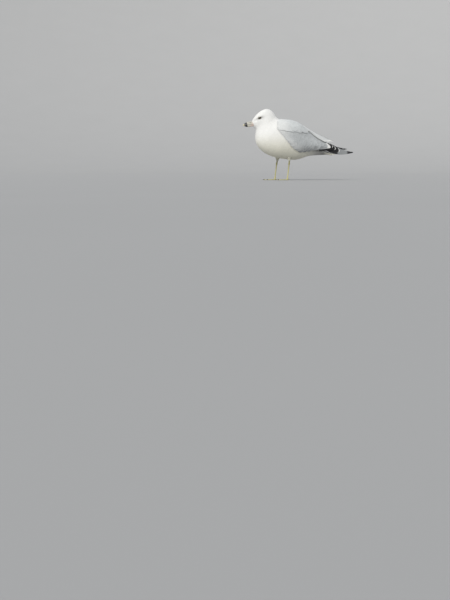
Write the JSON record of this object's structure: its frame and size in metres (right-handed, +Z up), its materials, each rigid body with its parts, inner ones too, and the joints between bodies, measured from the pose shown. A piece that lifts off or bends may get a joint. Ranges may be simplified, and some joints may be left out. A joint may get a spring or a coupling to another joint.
{
  "type": "seagull, standing, wings folded",
  "caption": "Life-size gull standing on two webbed feet with folded grey wings, white head and body, ringed bill and black wing tips.",
  "frame": {"origin": "on the floor under the middle of the bird's overall length and width; the soles stand at Z = 0", "axes": "+X from the bill back to the wing tips, the bird faces -X; +Y to the bird's right; +Z up"},
  "size_m": [0.459, 0.134, 0.286],
  "materials": {
    "body": "skin and flesh under soft white contour feathers, matt",
    "plumage": "soft white contour feathers, matt",
    "mantle": "pale blue-grey back and wing feathers, matt with a faint silky sheen",
    "flight": "pale grey long inner wing feathers with white tips, silky",
    "primary": "black outer wing feathers with white tips and spots, silky",
    "bill": "horny sheath, dull yellow to pinkish with a black ring, low gloss",
    "eye": "wet clear cornea over a pale iris and a large black pupil",
    "leg": "dull yellow-green scaled skin and thin webs",
    "claw": "black horn"
  },
  "bodies": {
    "root": {"head": "body", "neck": "body", "trunk": "body", "rump": "plumage", "tail": "plumage", "upper_bill": "bill", "lower_bill": "bill", "eye_left": "eye", "wing_left": "mantle", "tertials_left": "flight", "primaries_left": "primary", "thigh_left": "body", "leg_left": "leg", "foot_left": "leg", "claw_left_inner": "claw", "claw_left_middle": "claw", "claw_left_outer": "claw", "claw_left_hind": "claw", "eye_right": "eye", "wing_right": "mantle", "tertials_right": "flight", "primaries_right": "primary", "thigh_right": "body", "leg_right": "leg", "foot_right": "leg", "claw_right_inner": "claw", "claw_right_middle": "claw", "claw_right_outer": "claw", "claw_right_hind": "claw"}
  },
  "joints": []
}
